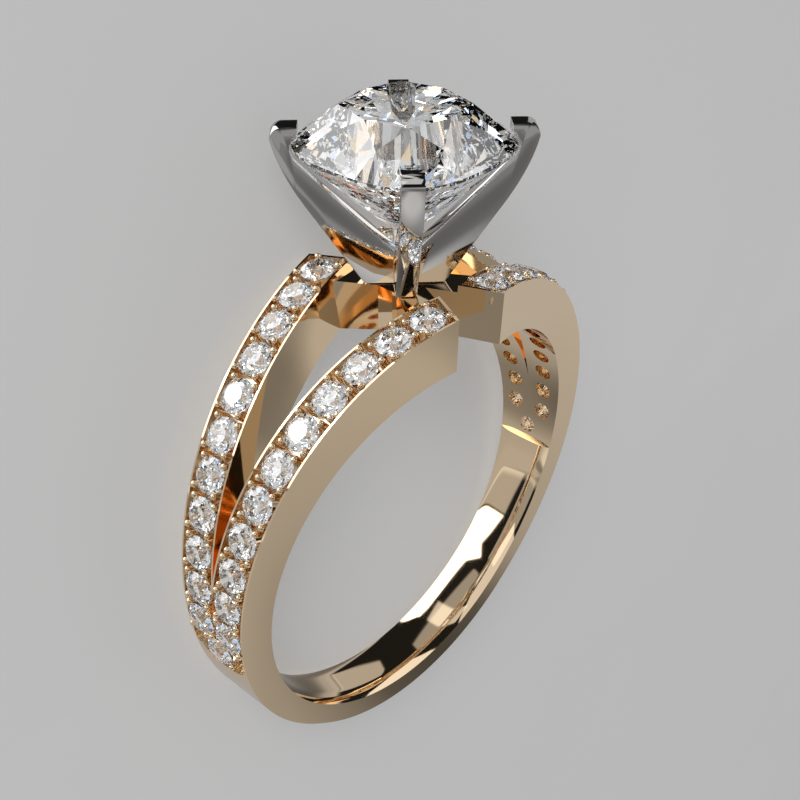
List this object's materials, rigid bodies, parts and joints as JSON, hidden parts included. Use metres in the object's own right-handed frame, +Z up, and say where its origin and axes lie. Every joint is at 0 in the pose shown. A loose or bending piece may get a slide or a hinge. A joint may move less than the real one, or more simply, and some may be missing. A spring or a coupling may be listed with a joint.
{
  "type": "split shank ring",
  "caption": "Finger ring with a split, stone-set shank and a four-blade head holding a cushion cut stone, lying on its side.",
  "frame": {"origin": "on the table that the ring lies on, under the middle of its bounding box", "axes": "+Z up from the table; +Y from the band towards the stone; +X across the finger hole; upwards the finger hole's axis leans 7.5 degrees from +Z towards -Y"},
  "size_m": [0.021, 0.0272, 0.0081],
  "materials": {
    "yellow_gold": "high polish",
    "white_gold": "high polish",
    "diamond": "polished facets"
  },
  "bodies": {
    "root": {"shank": "yellow_gold", "head": "white_gold", "center_stone": "diamond", "pave_left": "diamond", "pave_right": "diamond"}
  },
  "joints": []
}
